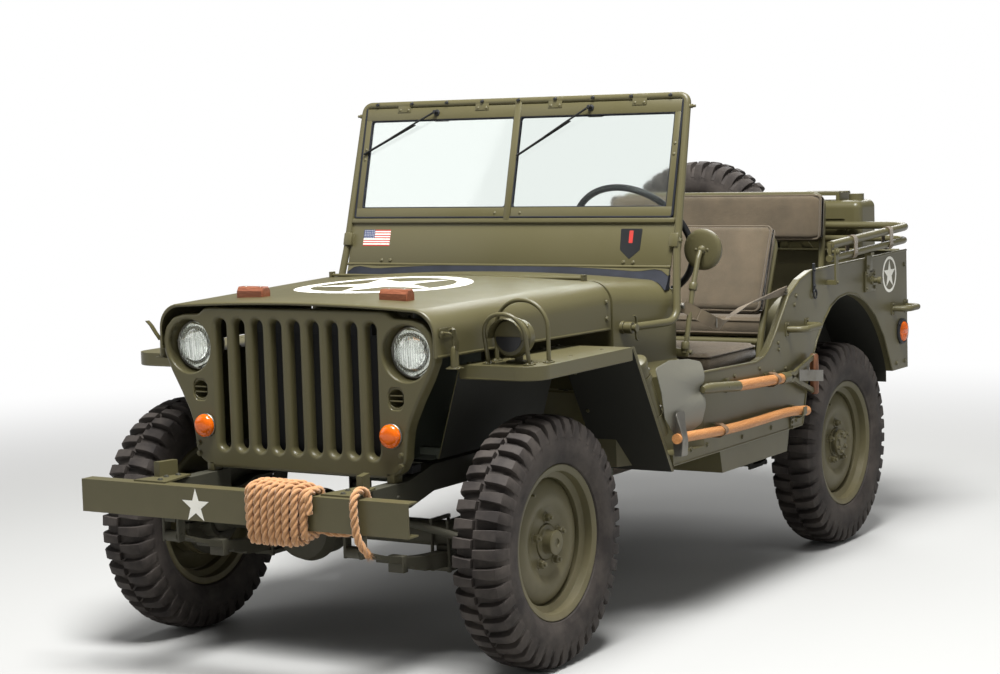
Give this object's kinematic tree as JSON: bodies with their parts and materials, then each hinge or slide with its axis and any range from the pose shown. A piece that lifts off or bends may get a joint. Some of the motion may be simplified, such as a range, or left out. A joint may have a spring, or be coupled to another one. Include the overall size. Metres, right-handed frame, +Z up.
{
  "type": "army 4x4 car",
  "caption": "Small open military car with four driven wheels, folding windshield, slotted nose, tub body and tools on its side.",
  "frame": {"origin": "on the ground, under the middle of the car's length and width", "axes": "+Z up, -Y the way the car faces, +X the driver's side (the car's left)"},
  "size_m": [1.574, 3.384, 1.6106],
  "materials": {
    "olive_paint": "matt",
    "dark_paint": "matt",
    "cast_iron": "rough",
    "exhaust_steel": "dull",
    "black_rim": "satin",
    "tyre": "matt",
    "canvas": "coarse weave",
    "rope": "rough fibre",
    "wood": "oiled",
    "glass": "clear",
    "amber": "glossy"
  },
  "bodies": {
    "chassis": {"axe": "olive_paint", "blackout_lamp": "olive_paint", "body_sides": "olive_paint", "canister": "olive_paint", "cowl": "olive_paint", "dashboard": "olive_paint", "drive_shafts": "dark_paint", "driver_cushions": "canvas", "driver_seat_frame": "olive_paint", "exhaust": "exhaust_steel", "floor_pan": "olive_paint", "frame_members": "olive_paint", "frame_rails": "olive_paint", "front_axle": "olive_paint", "front_bumper": "olive_paint", "front_fenders": "olive_paint", "fuel_tank": "olive_paint", "grille": "olive_paint", "headlights": "olive_paint", "jerrycan": "olive_paint", "lamp_lenses": "glass", "leaf_springs": "dark_paint", "marker_lamps": "amber", "mirror": "dark_paint", "powertrain": "cast_iron", "radiator": "dark_paint", "rear_axle": "olive_paint", "rear_bumperettes": "olive_paint", "rear_panel": "olive_paint", "rope_coil": "rope", "rope_loop": "rope", "shock_absorbers": "dark_paint", "shovel": "olive_paint", "spare_tyre": "tyre", "spare_wheel": "olive_paint", "steering_column": "dark_paint", "wheelhouses": "olive_paint"},
    "knuckle_left": {"knuckle_left": "olive_paint"},
    "knuckle_right": {"knuckle_right": "olive_paint"},
    "wheel_front_left": {"wheel_front_left": "olive_paint", "tyre_front_left": "tyre"},
    "wheel_front_right": {"wheel_front_right": "olive_paint", "tyre_front_right": "tyre"},
    "wheel_rear_left": {"wheel_rear_left": "olive_paint", "tyre_rear_left": "tyre"},
    "wheel_rear_right": {"wheel_rear_right": "olive_paint", "tyre_rear_right": "tyre"},
    "tie_rods": {"tie_rods": "dark_paint"},
    "bell_crank": {"bell_crank": "dark_paint"},
    "steering_wheel": {"steering_wheel": "black_rim"},
    "hood": {"hood": "olive_paint", "hood_blocks": "wood"},
    "windshield": {"windshield_frame": "olive_paint", "windshield_glass": "glass", "wipers": "dark_paint"},
    "passenger_seat": {"passenger_seat_frame": "olive_paint", "passenger_cushions": "canvas"},
    "rear_seat": {"rear_seat_frame": "olive_paint", "rear_cushions": "canvas"},
    "top_bows": {"top_bows": "olive_paint"}
  },
  "joints": [
    {"name": "steer_left", "type": "hinge", "parent": "chassis", "child": "knuckle_left", "pos_m": [0.522, -1.106, 0.358], "axis": [0, 0, 1], "range_deg": [-26, 26]},
    {"name": "steer_right", "type": "hinge", "parent": "chassis", "child": "knuckle_right", "pos_m": [-0.522, -1.106, 0.358], "axis": [0, 0, 1], "range_deg": [-26, 26]},
    {"name": "bell_crank_turn", "type": "hinge", "parent": "chassis", "child": "bell_crank", "pos_m": [0.04, -1.106, 0.43], "axis": [0, 0, 1], "range_deg": [-26, 26]},
    {"name": "tie_rods_pivot", "type": "hinge", "parent": "knuckle_left", "child": "tie_rods", "pos_m": [0.522, -1.256, 0.372], "axis": [0, 0, 1], "range_deg": [-26, 26]},
    {"name": "steering_wheel_turn", "type": "hinge", "parent": "chassis", "child": "steering_wheel", "pos_m": [0.34, 0.014, 1.131], "axis": [0, 0.866, 0.5], "range_deg": [-312, 312]},
    {"name": "wheel_front_left_spin", "type": "hinge", "parent": "knuckle_left", "child": "wheel_front_left", "pos_m": [0.6225, -1.106, 0.358], "axis": [1, 0, 0], "continuous": true},
    {"name": "wheel_front_right_spin", "type": "hinge", "parent": "knuckle_right", "child": "wheel_front_right", "pos_m": [-0.6225, -1.106, 0.358], "axis": [1, 0, 0], "continuous": true},
    {"name": "wheel_rear_left_spin", "type": "hinge", "parent": "chassis", "child": "wheel_rear_left", "pos_m": [0.6225, 0.926, 0.358], "axis": [1, 0, 0], "continuous": true},
    {"name": "wheel_rear_right_spin", "type": "hinge", "parent": "chassis", "child": "wheel_rear_right", "pos_m": [-0.6225, 0.926, 0.358], "axis": [1, 0, 0], "continuous": true},
    {"name": "hood_hinge", "type": "hinge", "parent": "chassis", "child": "hood", "pos_m": [0, -0.551, 1.056], "axis": [1, 0, 0], "range_deg": [-110, 0]},
    {"name": "windshield_fold", "type": "hinge", "parent": "chassis", "child": "windshield", "pos_m": [0, -0.494, 0.902], "axis": [1, 0, 0], "range_deg": [0, 102]},
    {"name": "passenger_seat_tip", "type": "hinge", "parent": "chassis", "child": "passenger_seat", "pos_m": [-0.39, 0.014, 0.676], "axis": [1, 0, 0], "range_deg": [0, 45]},
    {"name": "rear_seat_tip", "type": "hinge", "parent": "chassis", "child": "rear_seat", "pos_m": [0, 1.014, 0.7], "axis": [1, 0, 0], "range_deg": [0, 35]},
    {"name": "top_bows_swing", "type": "hinge", "parent": "chassis", "child": "top_bows", "pos_m": [0, 0.714, 1.053], "axis": [1, 0, 0], "range_deg": [0, 95]}
  ],
  "couplings": [
    {"joint": "steer_right", "follows": "steer_left", "ratio": 1},
    {"joint": "bell_crank_turn", "follows": "steer_left", "ratio": 1},
    {"joint": "tie_rods_pivot", "follows": "steer_left", "ratio": -1},
    {"joint": "steering_wheel_turn", "follows": "steer_left", "ratio": 12}
  ]
}
